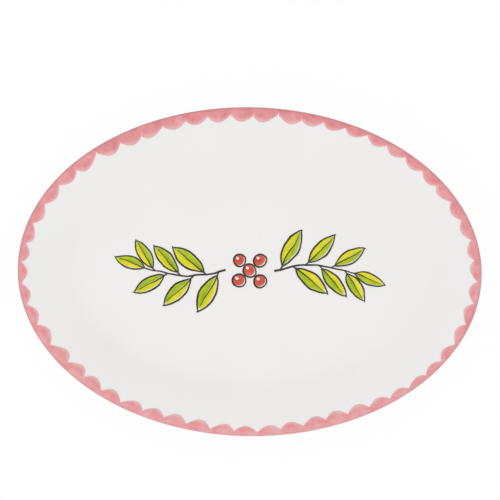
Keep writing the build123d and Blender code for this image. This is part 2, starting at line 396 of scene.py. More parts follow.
# The pink deepens towards the far side, and on the near side towards the strokes' ends.
for name, operation, *terms in (
    ("streak", "SUBTRACT", "hairs", 0.5),
    ("streak along", "MULTIPLY", "streak", "pulled"),
    ("streaked", "MULTIPLY_ADD", "streak along", STREAKS, "clouds"),
    ("thin", "SUBTRACT", "streaked", "thinned"),
    ("far deepened", "MULTIPLY_ADD", "far", FAR_DEEPENING, "thin"),
    ("end deepening", "MULTIPLY_ADD", "far", *END_DEEPENING),
    ("strength", "MULTIPLY_ADD", "end deepening", "pulled", "far deepened"),
    ("lip shade share", "MULTIPLY", "outer_lip_shade", "far_side_shade"),
):
    values = {i: known.get(term, term) for i, term in enumerate(terms)}
    known[name] = add_node(tree, "ShaderNodeMath", values, operation=operation)
spread = add_node(tree, "ShaderNodeMapRange", {"Value": known["strength"], "From Min": 0.16, "From Max": 0.8})
coat_colour = add_node(tree, "ShaderNodeValToRGB", {"Fac": spread})
coat_colour.color_ramp.elements[0].color = linear("e6b6b6")
coat_colour.color_ramp.elements[1].color = linear("d67c80")
coat_colour.color_ramp.elements.new(0.5).color = linear("e6989b")
# Painted shade: a duller, darker pink laid over the outer side of the lip, more of it towards the far side.
lip_shaded = add_node(
    tree,
    "ShaderNodeMix",
    {"Factor": known["lip shade share"], "A": coat_colour, "B": linear("b07477")},
    data_type="RGBA",
)
tree.links.new(lip_shaded.outputs["Result"], shader.inputs["Base Color"])
shader.inputs["Roughness"].default_value = 0.2
shader.inputs["IOR"].default_value = 1.5

lip_start = math.degrees(math.acos((-LIP_LINE - LIP_CENTRE[0]) / PAINTED_HALF))
lip_end = math.degrees(math.asin((PAINTED_HALF - LIP_WRAP) / PAINTED_HALF))
film = arc(LIP_CENTRE, PAINTED_HALF, lip_start, lip_end, LINE_STEPS)
film += arc(LIP_CENTRE, GLAZED_HALF, lip_end, lip_start, LINE_STEPS // 2)
lip_section = section_mesh("lip_line_section", film, closed=True)
# Painted shade: the outer side of the lip, where its turn round the lip falls from 70 to 40 degrees and
# below, takes the darker pink.
turns = [math.degrees(math.atan2(z - LIP_CENTRE[1], u - LIP_CENTRE[0])) for u, z in film]
lip_shade_shares = [min(max((LIP_SHADE_TURNS[0] - turn) / (LIP_SHADE_TURNS[0] - LIP_SHADE_TURNS[1]), 0), 1) for turn in turns]
lip_section.attributes.new("outer_lip_shade", "FLOAT", "POINT").data.foreach_set("value", lip_shade_shares)
lip_line = make_piece(
    "lip_line_colour", lip_section, sweep_tree, oval_sizes | {"Has Floor": False, "Finish": pink}
)
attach(lip_line, "root")
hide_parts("lip_line")

# Scalloped border
# Round strokes of the same pink, pressed side by side along the lip with the side of the brush and pulled in.
# The hand wanders as it goes round, so the strokes differ in depth, width and lean.
STROKES = 54
STROKE_DEPTH = 9.45
NOTCH_DEPTH = 4.55
STROKE_LAP = 0.4
STROKE_START = 1.5
STROKE_LEAN = (-0.15, 0.4)
STROKE_FILMS = (0.75, 0.9)
STROKE_WOBBLE = 0.8
WOBBLE_SPAN = 6.0
LEAST_RUN = 0.1
DAB_POINTS = (31, 11, 2)
HALF_TURN_STEP = 0.001

# The waves of the hand: how many times each goes round, its size in millimetres and its start in degrees.
SPACING_WAVES = (
    (0, 3.2, 0.0), (1, 6.7, 137.0), (2, 1.7, 60.0), (3, 1.1, -108.0), (5, 1.0, -57.0), (6, 0.6, 144.0),
    (7, 0.6, -20.0),
)
DEPTH_WAVES = (
    (1, 1.3, -122.0), (2, 0.5, 179.0), (3, 0.6, 4.0), (4, 0.6, -107.0), (5, 0.8, -22.0), (7, 0.3, 81.0),
    (8, 0.6, 117.0), (9, 0.4, -108.0),
)
NOTCH_WAVES = (
    (1, 1.3, -98.0), (2, 0.5, 160.0), (3, 0.4, -32.0), (4, 0.7, -102.0), (5, 0.6, -52.0), (8, 0.6, 141.0),
    (9, 0.3, -68.0),
)


def wander(waves, along):
    """How far the painter's hand is off, a share of the way round."""
    return sum(
        size * math.cos(2 * math.pi * times * along + math.radians(start)) for times, size, start in waves
    )


def strokes_along_lip():
    """Node tree that lays one brush stroke for each point it is given, along the lip and down the wall."""
    wall_sizes = ("Lip Round", "Lip Height", "Slope", "Stroke Start", "Paint", "Wobble")
    tree, given = new_tree(
        "strokes_along_lip", ("Half Length", "Half Width", *wall_sizes), counts=["Steps Round"]
    )

    # One dab of the brush: a thin closed sheet, across the stroke in X, along it in Y and its thickness in Z.
    dab_points = {"Vertices " + axis: count for axis, count in zip("XYZ", DAB_POINTS)}
    dab = add_node(tree, "GeometryNodeMeshCube", {"Size": (2.0, 1.0, 1.0)} | dab_points)
    raised = add_node(
        tree,
        "ShaderNodeVectorMath",
        {0: add_node(tree, "GeometryNodeInputPosition").outputs["Position"], 1: (0.0, 0.5, 0.5)},
        operation="ADD",
    )
    marked = add_node(
        tree,
        "GeometryNodeStoreNamedAttribute",
        {"Geometry": dab, "Name": "brush", "Value": raised},
        data_type="FLOAT_VECTOR",
        domain="POINT",
    )
    dabs = add_node(tree, "GeometryNodeInstanceOnPoints", {"Points": given["Geometry"], "Instance": marked})
    real = add_node(tree, "GeometryNodeRealizeInstances", {"Geometry": dabs})

    # What is known at each corner of a dab: the inputs, its place on the brush and its stroke's own values.
    lip_curve = lip_oval(tree, given)
    known = {socket.name: socket for socket in given if socket.type == "VALUE"}
    known["lip length"] = add_node(tree, "GeometryNodeCurveLength", {"Curve": lip_curve})
    on_brush = add_node(tree, "GeometryNodeInputNamedAttribute", {"Name": "brush"}, data_type="FLOAT_VECTOR")
    place = add_node(tree, "ShaderNodeSeparateXYZ", {"Vector": on_brush})
    for name, axis in (("across share", "X"), ("along share", "Y"), ("film share", "Z")):
        known[name] = place.outputs[axis]
    for name in ("along", "half_width", "depth", "notch_before", "notch_after", "lean", "film"):
        stored = add_node(tree, "GeometryNodeInputNamedAttribute", {"Name": name}, data_type="FLOAT")
        known[name] = stored

    # The stroke's outline: from notch to notch along the lip, with a round tip that leans with the hand.
    outline_sums = (
        ("across", "MULTIPLY", "across share", "half_width"),
        ("past middle", "MULTIPLY_ADD", "across share", 0.5, 0.5),
        ("notch change", "SUBTRACT", "notch_after", "notch_before"),
        ("notch", "MULTIPLY_ADD", "past middle", "notch change", "notch_before"),
        ("off middle", "MULTIPLY", "across share", "across share"),
        ("roundness", "SUBTRACT", 1.0, "off middle"),
        ("bulge", "SUBTRACT", "depth", "notch"),
        ("tip", "MULTIPLY_ADD", "bulge", "roundness", "notch"),
        ("reach", "SUBTRACT", "tip", "Stroke Start"),
        ("run", "MAXIMUM", "reach", LEAST_RUN * MM),
        ("down", "MULTIPLY", "run", "along share"),
        ("leaning", "MULTIPLY", "lean", "along share"),
        ("aside", "MULTIPLY_ADD", "down", "leaning", "across"),
        ("lip spot", "ADD", "along", "aside"),
        ("lip turn", "FLOORED_MODULO", "lip spot", "lip length"),
    )
    # The wall's height above the lip's centre at that distance in from the edge, on the round or the slope.
    wall_sums = (
        ("shake", "SUBTRACT", "hand", 0.5),
        ("shaken", "MULTIPLY", "shake", "Wobble"),
        ("start", "MULTIPLY_ADD", "shaken", "along share", "Stroke Start"),
        ("inward", "ADD", "start", "down"),
        ("painted round", "ADD", "Lip Round", "Paint"),
        ("off centre", "SUBTRACT", "painted round", "inward"),
        ("off centre squared", "MULTIPLY", "off centre", "off centre"),
        ("round squared", "MULTIPLY", "Lip Round", "Lip Round"),
        ("rise squared", "SUBTRACT", "round squared", "off centre squared"),
        ("rise positive", "MAXIMUM", "rise squared", 0.0),
        ("on round", "SQRT", "rise positive"),
        ("sine", "SINE", "Slope"),
        ("cosine", "COSINE", "Slope"),
        ("tangent", "TANGENT", "Slope"),
        ("past round", "MULTIPLY_ADD", "Lip Round", "sine", "off centre"),
        ("slope top", "MULTIPLY", "Lip Round", "cosine"),
        ("on slope", "MULTIPLY_ADD", "past round", "tangent", "slope top"),
        ("is slope", "LESS_THAN", "past round", 0.0),
        ("difference", "SUBTRACT", "on slope", "on round"),
        ("wall", "MULTIPLY_ADD", "is slope", "difference", "on round"),
        ("coat", "MULTIPLY", "Paint", "film"),
        ("coat here", "MULTIPLY", "coat", "film share"),
        ("above centre", "MULTIPLY_ADD", "coat here", "cosine", "wall"),
        ("height", "ADD", "above centre", "Lip Height"),
        ("inward coat", "MULTIPLY_ADD", "coat here", "sine", "inward"),
        ("outward", "MULTIPLY", "inward coat", -1.0),
    )
    for sums in (outline_sums, wall_sums):
        for name, operation, *terms in sums:
            values = {i: known.get(term, term) for i, term in enumerate(terms)}
            known[name] = add_node(tree, "ShaderNodeMath", values, operation=operation)
        if sums is outline_sums:
            spread_out = add_node(tree, "ShaderNodeCombineXYZ", {"X": known["lip spot"], "Y": known["down"]})
            known["hand"] = add_node(
                tree,
                "ShaderNodeTexNoise",
                {"Vector": spread_out, "Scale": 1 / (WOBBLE_SPAN * MM), "Detail": 2.0},
            )
    edge_point = add_node(
        tree, "GeometryNodeSampleCurve", {"Curves": lip_curve, "Length": known["lip turn"]}, mode="LENGTH"
    )
    inwards = add_node(
        tree,
        "ShaderNodeVectorMath",
        {0: edge_point.outputs["Normal"], "Scale": known["outward"]},
        operation="SCALE",
    )
    on_plan = add_node(
        tree, "ShaderNodeVectorMath", {0: edge_point.outputs["Position"], 1: inwards}, operation="ADD"
    )
    up = add_node(tree, "ShaderNodeCombineXYZ", {"Z": known["height"]})
    on_wall = add_node(tree, "ShaderNodeVectorMath", {0: on_plan, 1: up}, operation="ADD")
    laid = add_node(tree, "GeometryNodeSetPosition", {"Geometry": real, "Position": on_wall})
    return end_tree(tree, laid, given["Finish"])


# The length of the oval of the lip, in short straight steps
half_turns = [i * HALF_TURN_STEP for i in range(round(2 / HALF_TURN_STEP) + 1)]
lip_points = [(LIP_OVAL[0] * math.cos(math.pi * t), LIP_OVAL[1] * math.sin(math.pi * t)) for t in half_turns]
lip_length = sum(math.dist(one, other) for one, other in zip(lip_points, lip_points[1:]))

# Each stroke's place, width, depth and notches follow the waves of the hand, and its lean is random.
random.seed(54)
evenly = [stroke / STROKES for stroke in range(STROKES)]
spots = [share + wander(SPACING_WAVES, share) / lip_length for share in evenly]
befores = [(before + (spot - before) % 1 / 2) % 1 for before, spot in zip(spots[-1:] + spots[:-1], spots)]
afters = befores[1:] + befores[:1]
widths = [(after - before) % 1 * lip_length for before, after in zip(befores, afters)]
middles = [before + (after - before) % 1 / 2 for before, after in zip(befores, afters)]
stroke_values = {
    "along": [middle * lip_length * MM for middle in middles],
    "half_width": [(width + STROKE_LAP) / 2 * MM for width in widths],
    "depth": [(STROKE_DEPTH + wander(DEPTH_WAVES, spot)) * MM for spot in spots],
    "notch_before": [(NOTCH_DEPTH + wander(NOTCH_WAVES, before)) * MM for before in befores],
    "notch_after": [(NOTCH_DEPTH + wander(NOTCH_WAVES, after)) * MM for after in afters],
    "lean": [random.uniform(*STROKE_LEAN) for spot in spots],
    "film": [STROKE_FILMS[stroke % 2] for stroke in range(STROKES)],
}
stroke_places = bpy.data.meshes.new("stroke_places")
stroke_places.from_pydata([(0, 0, 0)] * STROKES, [], [])
for name, values in stroke_values.items():
    stroke_places.attributes.new(name, "FLOAT", "POINT").data.foreach_set("value", values)
scallops = make_piece(
    "scallop_strokes",
    stroke_places,
    strokes_along_lip(),
    oval_sizes
    | {
        "Lip Round": GLAZED_HALF * MM,
        "Lip Height": LIP_CENTRE[1] * MM,
        "Slope": math.radians(SLOPE),
        "Stroke Start": STROKE_START * MM,
        "Paint": PAINT * MM,
        "Wobble": STROKE_WOBBLE * MM,
        "Finish": pink,
    },
)
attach(scallops, "root")
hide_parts("rim_scallops")

# Leaf washes
# Printed watercolour on the leaves of two stems: the first colours of a transfer on the floor, which melts
# into the glaze in the firing. Each leaf's upper half is yellow-green, and its lower half is a deeper green.
FLOOR_TOP = MIDDLE_Z + GLAZED_HALF
WASH = 0.12
BUILD_UP = 0.05
WASH_SHIFT = (-0.45, 0.35)
HAND_SHAKE = 3.0
HAND_SPAN = 15.0
HAND_INPUTS = ("Floor", "Shake", "Shake Span", "Shift X", "Shift Y")
STEM = (18.83, 78.42)
STEM_SAG = 4.99
STEM_ARC_STEPS = 64
LEAF_STATIONS = 3
LEAF_TURN = 47.0
LEAF_FAN = -0.07
LEAF_LENGTH = 32.93
LEAF_ASPECT = 2.7
LEAF_TAPER = 0.25
LEAF_STALK = 3.0
LEAF_LAYER = 0.09
ROW_LAYER = 0.03
WASH_STEPS = 24
WASH_ROWS = 4
MIDRIB_GAP = 0.004
WASH_HAIRS = (2.0, 5.0, 0.0)
WASH_HAIR_CHANGE = 30.0
WASH_CLOUD = 7.0
WASH_THINNED = -0.45


def blade(x):
    """Half the width of a leaf of length 1, at a share of the way along it. It is below 0 past the ends."""
    half = 1 / LEAF_ASPECT / 2
    radius = (0.25 + half**2) / (2 * half)
    return math.sqrt(radius**2 - (x - 0.5) ** 2) - (radius - half)


def half_leaf(side, start, run, fill):
    """One side of a leaf of length 1 as a grid, from the midrib out to a share of the blade's half width."""
    shares = [start + run * i / WASH_STEPS for i in range(WASH_STEPS + 1)]
    return [
        [(x, side * (MIDRIB_GAP + (blade(x) * fill - MIDRIB_GAP) * r / WASH_ROWS)) for x in shares]
        for r in range(WASH_ROWS + 1)
    ]


def thin_sheet(name, grids, thickness):
    """Closed thin sheets from grids of (x, y) points, with each point's place in its grid kept as brush.

    The colour builds up along a sheet and from sheet to sheet, so where two cross, one lies over the other.
    """
    mesh = bpy.data.meshes.new(name)
    points, faces, places = [], [], []
    for sheet, grid in enumerate(grids):
        rows, columns = len(grid), len(grid[0])
        shares = [c / (columns - 1) for c in range(columns)]
        start = len(points)
        for level in (0, 1):
            for r, row in enumerate(grid):
                heights = [level * thickness * (1 + BUILD_UP * (2 * sheet + share)) for share in shares]
                points += [(x, y, height) for (x, y), height in zip(row, heights)]
                places += [(share, r / (rows - 1), level) for share in shares]
        under = [[start + r * columns + c for c in range(columns)] for r in range(rows)]
        over = [[corner + rows * columns for corner in row] for row in under]
        for r in range(rows - 1):
            for c in range(columns - 1):
                faces.append([over[r][c], over[r][c + 1], over[r + 1][c + 1], over[r + 1][c]])
                faces.append([under[r][c], under[r + 1][c], under[r + 1][c + 1], under[r][c + 1]])
        border = [(0, c) for c in range(columns)] + [(r, columns - 1) for r in range(1, rows)]
        border += [(rows - 1, c) for c in range(columns - 2, -1, -1)]
        border += [(r, 0) for r in range(rows - 2, 0, -1)]
        for (r, c), (next_r, next_c) in zip(border, border[1:] + border[:1]):
            faces.append([under[r][c], under[next_r][next_c], over[next_r][next_c], over[r][c]])
    mesh.from_pydata(points, [], faces)
    brush = mesh.attributes.new("brush", "FLOAT_VECTOR", "POINT")
    brush.data.foreach_set("vector", [value for place in places for value in place])
    return mesh


def drawn_by_hand():
    """Node tree that makes flat shapes as shaky as a hand draws them, and lays them on the floor."""
    tree, given = new_tree("drawn_by_hand", HAND_INPUTS)
    position = add_node(tree, "GeometryNodeInputPosition").outputs["Position"]
    flat = add_node(tree, "ShaderNodeVectorMath", {0: position, 1: (1.0, 1.0, 0.0)}, operation="MULTIPLY")
    span = add_node(tree, "ShaderNodeMath", {0: 1.0, 1: given["Shake Span"]}, operation="DIVIDE")
    hand = add_node(
        tree, "ShaderNodeTexNoise", {"Vector": flat, "Scale": span, "Detail": 2.0, "Roughness": 0.45}
    )
    off = hand.outputs["Color"]
    for operation, by in (("SUBTRACT", (0.5, 0.5, 0.5)), ("MULTIPLY", (1.0, 1.0, 0.0))):
        off = add_node(tree, "ShaderNodeVectorMath", {0: off, 1: by}, operation=operation)
    laid = add_node(
        tree, "ShaderNodeCombineXYZ", {"X": given["Shift X"], "Y": given["Shift Y"], "Z": given["Floor"]}
    )
    off = add_node(
        tree, "ShaderNodeVectorMath", {0: off, 1: given["Shake"], 2: laid}, operation="MULTIPLY_ADD"
    )
    drawn = add_node(tree, "GeometryNodeSetPosition", {"Geometry": given["Geometry"], "Offset": off})
    return end_tree(tree, drawn, given["Finish"])


hand_tree = drawn_by_hand()
hand_sizes = {"Floor": FLOOR_TOP * MM, "Shake": HAND_SHAKE * MM, "Shake Span": HAND_SPAN * MM}
wash_shift = {"Shift X": WASH_SHIFT[0] * MM, "Shift Y": WASH_SHIFT[1] * MM}


def leaves_on_stems():
    """Node tree that sets one leaf along a stem and at its tip, and repeats the whole half a turn on."""
    leaf_inputs = ("Stem Start", "Stem End", "Stem Sag", "Turn", "Fan", "Stalk", "Leaf Length", "Taper")
    tree, given = new_tree("leaves_on_stems", leaf_inputs + HAND_INPUTS, counts=["Stations"])
    ends = add_node(tree, "ShaderNodeMath", {0: given["Stem Start"], 1: given["Stem End"]}, operation="ADD")
    half_way = add_node(tree, "ShaderNodeMath", {0: ends, 1: 0.5}, operation="MULTIPLY")
    start = add_node(tree, "ShaderNodeCombineXYZ", {"X": given["Stem Start"]})
    middle = add_node(tree, "ShaderNodeCombineXYZ", {"X": half_way, "Y": given["Stem Sag"]})
    end = add_node(tree, "ShaderNodeCombineXYZ", {"X": given["Stem End"]})
    stem = add_node(
        tree,
        "GeometryNodeCurveArc",
        {"Resolution": STEM_ARC_STEPS, "Start": start, "Middle": middle, "End": end},
        mode="POINTS",
    )
    leaves = add_node(tree, "GeometryNodeJoinGeometry")
    index = add_node(tree, "GeometryNodeInputIndex")

    # A row of leaves on each side and one leaf at the tip: its first station, its side, and if it is the tip.
    for row, (first, side, at_tip) in enumerate(((0.25, 1.0, 0.0), (0.75, -1.0, 0.0), (0.0, 0.0, 1.0))):
        points = add_node(tree, "GeometryNodePoints", {"Count": 1 if at_tip else given["Stations"]})
        known = {name: given[name] for name in ("Stations", "Turn", "Fan", "Taper", "Leaf Length")}
        known["index"] = index
        for name, operation, *terms in (
            ("station", "ADD", "index", first),
            ("along", "DIVIDE", "station", "Stations"),
            ("share", "ADD", "along", at_tip),
            ("lean", "MULTIPLY", "Turn", side),
            ("spread", "MULTIPLY_ADD", "index", "Fan", 1.0),
            ("angle", "MULTIPLY", "lean", "spread"),
            ("loss", "MULTIPLY", "share", "Taper"),
            ("size", "SUBTRACT", 1.0, "loss"),
            ("length", "MULTIPLY", "size", "Leaf Length"),
            ("layer", "MULTIPLY_ADD", "index", LEAF_LAYER, 1.0 + ROW_LAYER * row),
        ):
            values = {i: known.get(term, term) for i, term in enumerate(terms)}
            known[name] = add_node(tree, "ShaderNodeMath", values, operation=operation)
        base = add_node(
            tree, "GeometryNodeSampleCurve", {"Curves": stem, "Factor": known["share"]}, mode="FACTOR"
        )
        heading = add_node(
            tree,
            "ShaderNodeVectorRotate",
            {"Vector": base.outputs["Tangent"], "Axis": (0.0, 0.0, 1.0), "Angle": known["angle"]},
            rotation_type="AXIS_ANGLE",
        )
        stalk = add_node(
            tree,
            "ShaderNodeVectorMath",
            {0: heading, 1: given["Stalk"], 2: base.outputs["Position"]},
            operation="MULTIPLY_ADD",
        )
        placed = add_node(tree, "GeometryNodeSetPosition", {"Geometry": points, "Position": stalk})
        turned = add_node(
            tree, "FunctionNodeAlignRotationToVector", {"Vector": heading}, axis="X", pivot_axis="Z"
        )
        size = add_node(
            tree, "ShaderNodeCombineXYZ", {"X": known["length"], "Y": known["length"], "Z": known["layer"]}
        )
        group = add_node(
            tree,
            "GeometryNodeInstanceOnPoints",
            {"Points": placed, "Instance": given["Geometry"], "Rotation": turned, "Scale": size},
        )
        tree.links.new(group.outputs["Instances"], leaves.inputs["Geometry"])
    real = add_node(tree, "GeometryNodeRealizeInstances", {"Geometry": leaves})
    half_turn = add_node(tree, "GeometryNodeTransform", {"Geometry": real, "Rotation": (0.0, 0.0, math.pi)})
    spray = add_node(tree, "GeometryNodeJoinGeometry", {"Geometry": real})
    tree.links.new(half_turn.outputs["Geometry"], spray.inputs["Geometry"])
    passed_on = {name: given[name] for name in HAND_INPUTS}
    drawn = add_node(tree, "GeometryNodeGroup", {"Geometry": spray} | passed_on, node_tree=hand_tree)
    return end_tree(tree, drawn, given["Finish"])


def wash_finish(name, thin, full, deep):
    """Printed watercolour wash: under the melted glaze, streaked along the brush, thin at its outer edge."""
    material, tree, shader = new_finish(name)
    spot = add_node(tree, "ShaderNodeTexCoord").outputs["Object"]
    brush = add_node(tree, "ShaderNodeAttribute", attribute_name="brush").outputs["Vector"]
    hairs = add_node(tree, "ShaderNodeVectorMath", {0: brush, 1: WASH_HAIRS}, operation="MULTIPLY")
    each = add_node(
        tree, "ShaderNodeVectorMath", {0: spot, "Scale": 1 / (WASH_HAIR_CHANGE * MM)}, operation="SCALE"
    )
    hairs = add_node(tree, "ShaderNodeVectorMath", {0: hairs, 1: each}, operation="ADD")
    streak = add_node(tree, "ShaderNodeTexNoise", {"Vector": hairs, "Scale": 1.0, "Detail": 2.0})
    cloud = add_node(
        tree, "ShaderNodeTexNoise", {"Vector": spot, "Scale": 1 / (WASH_CLOUD * MM), "Detail": 3.0}
    )
    mixed = add_node(tree, "ShaderNodeMath", {0: streak, 1: cloud}, operation="ADD")
    across = add_node(tree, "ShaderNodeSeparateXYZ", {"Vector": brush}).outputs["Y"]
    mixed = add_node(tree, "ShaderNodeMath", {0: across, 1: WASH_THINNED, 2: mixed}, operation="MULTIPLY_ADD")
    spread = add_node(tree, "ShaderNodeMapRange", {"Value": mixed, "From Min": 0.4, "From Max": 1.15})
    ramp = add_node(tree, "ShaderNodeValToRGB", {"Fac": spread})
    ramp.color_ramp.elements[0].color = linear(thin)
    ramp.color_ramp.elements[1].color = linear(deep)
    ramp.color_ramp.elements.new(0.5).color = linear(full)
    tree.links.new(ramp.outputs["Color"], shader.inputs["Base Color"])
    shader.inputs["Roughness"].default_value = 0.16
    shader.inputs["Specular IOR Level"].default_value = 0.3
    return material


leaf_tree = leaves_on_stems()
leaf_sizes = hand_sizes | {
    "Stem Start": STEM[0] * MM,
    "Stem End": STEM[1] * MM,
    "Stem Sag": STEM_SAG * MM,
    "Turn": math.radians(LEAF_TURN),
    "Fan": LEAF_FAN,
    "Stalk": LEAF_STALK * MM,
    "Leaf Length": LEAF_LENGTH * MM,
    "Taper": LEAF_TAPER,
    "Stations": LEAF_STATIONS,
}

# The yellow-green stops short of the outline, so that a sliver of white glaze stays.
lime = wash_finish("lime_transfer_wash", "e9e03c", "dcd60a", "bcc400")
lime_wash = make_piece(
    "lime_leaf_wash",
    thin_sheet("lime_leaf", [half_leaf(side=1, start=0.06, run=0.86, fill=0.86)], WASH * MM),
    leaf_tree,
    leaf_sizes | wash_shift | {"Finish": lime},
)
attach(lime_wash, "root")
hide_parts("lime_ink")

# The deeper green is a little longer than the yellow-green.
green = wash_finish("green_transfer_wash", "c6ce0a", "a5bd08", "7fa000")
green_wash = make_piece(
    "green_leaf_wash",
    thin_sheet("green_leaf", [half_leaf(side=-1, start=0.03, run=0.92, fill=0.84)], WASH * MM),
    leaf_tree,
    leaf_sizes | wash_shift | {"Finish": green},
)
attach(green_wash, "root")
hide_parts("green_ink")

# Berry washes
# Coral red watercolour of the same transfer, on a cluster of berries between the two stems.
# Each berry is one round stroke, which leaves the white of the glaze open as a highlight.
BERRY = 9.02
CLUSTER_RADIUS = 11.42
BERRIES_AROUND = 4
BERRY_LAYER = 0.09
BERRY_WASH = 0.95
BERRY_STEPS = 40
BERRY_ROWS = 5
HIGHLIGHT = 0.27
HIGHLIGHT_SPOT = (-0.26, 0.3)
STROKE_GAP = 24.0


def berry_cluster():
    """Node tree that sets one berry in the middle and the same berry round it."""
    tree, given = new_tree(
        "berry_cluster", ("Cluster Radius", "Cluster Turn", *HAND_INPUTS), counts=["Berries Around"]
    )
    ring = add_node(
        tree,
        "GeometryNodeMeshCircle",
        {"Vertices": given["Berries Around"], "Radius": given["Cluster Radius"]},
    )
    turn = add_node(tree, "ShaderNodeCombineXYZ", {"Z": given["Cluster Turn"]})
    turned = add_node(tree, "GeometryNodeTransform", {"Geometry": ring, "Rotation": turn})
    around = add_node(tree, "GeometryNodeMeshToPoints", {"Mesh": turned})
    middle = add_node(tree, "GeometryNodePoints", {"Count": 1})
    spots = add_node(tree, "GeometryNodeJoinGeometry", {"Geometry": around})
    tree.links.new(middle.outputs["Points"], spots.inputs["Geometry"])
    index = add_node(tree, "GeometryNodeInputIndex")
    layer = add_node(tree, "ShaderNodeMath", {0: index, 1: BERRY_LAYER, 2: 1.0}, operation="MULTIPLY_ADD")
    size = add_node(tree, "ShaderNodeCombineXYZ", {"X": 1.0, "Y": 1.0, "Z": layer})
    berries = add_node(
        tree, "GeometryNodeInstanceOnPoints", {"Points": spots, "Instance": given["Geometry"], "Scale": size}
    )
    real = add_node(tree, "GeometryNodeRealizeInstances", {"Geometry": berries})
    passed_on = {name: given[name] for name in HAND_INPUTS}
    drawn = add_node(tree, "GeometryNodeGroup", {"Geometry": real} | passed_on, node_tree=hand_tree)
    return end_tree(tree, drawn, given["Finish"])


def round_stroke(radius):
    """A berry in one round stroke, as a grid of rings, with the highlight and the stroke's gap left open."""
    start = math.degrees(math.atan2(HIGHLIGHT_SPOT[1], HIGHLIGHT_SPOT[0])) + STROKE_GAP / 2
    angles = [math.radians(start + (360 - STROKE_GAP) * c / BERRY_STEPS) for c in range(BERRY_STEPS + 1)]
    rows = []
    for r in range(BERRY_ROWS + 1):
        size = HIGHLIGHT + (BERRY_WASH - HIGHLIGHT) * r / BERRY_ROWS
        off = 1 - r / BERRY_ROWS
        across = [(HIGHLIGHT_SPOT[0] * off + size * math.cos(angle)) * radius for angle in angles]
        along = [(HIGHLIGHT_SPOT[1] * off + size * math.sin(angle)) * radius for angle in angles]
        rows.append(list(zip(across, along)))
    return rows


berry_tree = berry_cluster()
berry_sizes = hand_sizes | {
    "Cluster Radius": CLUSTER_RADIUS * MM,
    "Cluster Turn": math.pi / BERRIES_AROUND,
    "Berries Around": BERRIES_AROUND,
}
coral = wash_finish("coral_transfer_wash", "e2705c", "d24f39", "b83a28")
berry_wash = make_piece(
    "coral_berry_wash",
    thin_sheet("coral_berry", [round_stroke(BERRY / 2 * MM)], WASH * MM),
    berry_tree,
    berry_sizes | wash_shift | {"Finish": coral},
)
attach(berry_wash, "root")
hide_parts("red_ink")

# Pen lines
# Dark brown-black ink of the same transfer, drawn over the washes on leaves, berries and stems.
# A steel nib draws it, so a line is thick and thin with the pressure of the hand.
PEN = 0.25
PEN_LINE = 1.15
INK_FLOW = 4.0
LEAF_PEN = 1.1
LEAF_LINE_STEPS = 32
UPPER_EDGE = 1.03
LOWER_EDGE = 1.01
MIDRIB = (-0.12, 0.98)
MIDRIB_WAVE = (0.014, 5)
MIDRIB_PEN = 0.8
MIDRIB_PRESS = (1.25, 0.9)
RING = 1.09
RING_GROWTH = 0.05
RING_TURN = (-0.4, 6.6)
RING_STEPS = 48
STEM_OVERSHOOT = 1.02
STEM_LINE_STEPS = 40
STEM_PEN = 1.15
STEM_PRESS = (1.2, 0.5)
STEM_FILM = 0.8


def pen_line(points, width, press):
    """A line of the pen as a grid of two sides, with its width at each share of the way given by press."""
    sides = ([], [])
    for i, (x, y) in enumerate(points):
        (x0, y0), (x1, y1) = points[max(i - 1, 0)], points[min(i + 1, len(points) - 1)]
        run = math.hypot(x1 - x0, y1 - y0)
        half = width / 2 * press(i / (len(points) - 1))
        sides[0].append((x - (y1 - y0) / run * half, y + (x1 - x0) / run * half))
        sides[1].append((x + (y1 - y0) / run * half, y - (x1 - x0) / run * half))
    return list(sides)


def swell(share):
    """Pressure of the pen: light as it starts and ends, heavier between."""
    lightest, gain, start, run, roundness = 0.5, 0.7, 0.12, 0.8, 0.8
    return lightest + gain * math.sin(math.pi * (start + run * share)) ** roundness


# Pen ink of a transfer: dark, uneven where the ink flowed thick and thin, under the melted glaze.
pen_ink, tree, shader = new_finish("dark_transfer_pen_ink")
spot = add_node(tree, "ShaderNodeTexCoord").outputs["Object"]
flow = add_node(tree, "ShaderNodeTexNoise", {"Vector": spot, "Scale": 1 / (INK_FLOW * MM), "Detail": 2.0})
ink_tone = add_node(
    tree, "ShaderNodeMix", {"Factor": flow, "A": linear("1c1815"), "B": linear("443d34")}, data_type="RGBA"
)
tree.links.new(ink_tone.outputs["Result"], shader.inputs["Base Color"])
shader.inputs["Roughness"].default_value = 0.2
shader.inputs["Specular IOR Level"].default_value = 0.3

# Each leaf has an upper and a lower edge that cross at the tip, and a midrib that starts on the stem.
leaf_pen = PEN_LINE / LEAF_LENGTH * LEAF_PEN
steps = [i / LEAF_LINE_STEPS for i in range(LEAF_LINE_STEPS + 1)]
midrib = [(MIDRIB[0] + MIDRIB[1] * x, MIDRIB_WAVE[0] * math.sin(MIDRIB_WAVE[1] * x)) for x in steps]
leaf_strokes = [
    pen_line([(UPPER_EDGE * x, blade(UPPER_EDGE * x)) for x in steps], leaf_pen, swell),
    pen_line([(LOWER_EDGE * x, -blade(LOWER_EDGE * x)) for x in steps], leaf_pen, swell),
    pen_line(midrib, leaf_pen * MIDRIB_PEN, lambda share: MIDRIB_PRESS[0] - MIDRIB_PRESS[1] * share),
]
leaf_lines = make_piece(
    "leaf_pen_lines",
    thin_sheet("leaf_lines", leaf_strokes, PEN * MM),
    leaf_tree,
    leaf_sizes | {"Finish": pen_ink},
)
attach(leaf_lines, "root")
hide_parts("line_ink")

